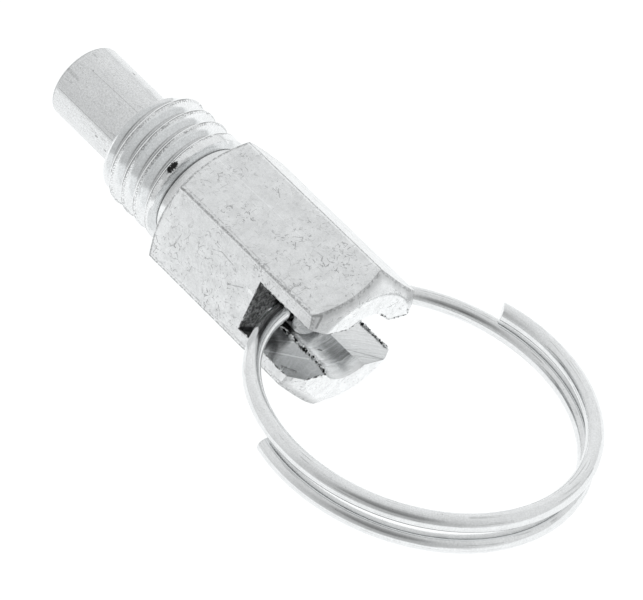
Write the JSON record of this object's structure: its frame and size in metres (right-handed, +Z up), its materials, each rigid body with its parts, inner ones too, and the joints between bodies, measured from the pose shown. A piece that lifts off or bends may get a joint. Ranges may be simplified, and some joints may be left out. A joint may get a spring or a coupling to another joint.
{
  "type": "locking bolt",
  "caption": "Spring-loaded locking bolt: a threaded hexagonal body with a cross slot, a round plunger that slides through it and a split ring that pulls the plunger back.",
  "frame": {"origin": "centre of the hexagon's flat shoulder, on the bolt's axis", "axes": "+X along the axis from the shoulder to the slotted ring end, -X to the nose, +Z up from the floor on which one flat of the hexagon lies, +Y completes a right-handed frame"},
  "size_m": [0.0657, 0.0322, 0.0145],
  "materials": {
    "body_steel": "bright plated steel with fine scratches",
    "plunger_steel": "ground steel",
    "spring_steel": "drawn spring wire",
    "ring_steel": "smooth bright plated wire"
  },
  "bodies": {
    "housing": {"threaded_body": "body_steel"},
    "spring_end": {"return_spring": "spring_steel"},
    "plunger": {"plunger": "plunger_steel"},
    "ring": {"pull_ring": "ring_steel"}
  },
  "joints": [
    {"name": "plunger_slide", "type": "slide", "parent": "housing", "child": "spring_end", "axis": [1, 0, 0], "range_m": [0, 0.0086], "stiffness_N_per_m": 730, "springref_m": -0.0072, "deforming": ["return_spring"]},
    {"name": "plunger_turn", "type": "hinge", "parent": "spring_end", "child": "plunger", "pos_m": [0, 0, 0], "axis": [1, 0, 0], "range_deg": [-14, 0]},
    {"name": "ring_swing", "type": "hinge", "parent": "plunger", "child": "ring", "pos_m": [0.01402, 0, 0], "axis": [0, 0.9205, -0.3907], "range_deg": [-26, 28]}
  ]
}
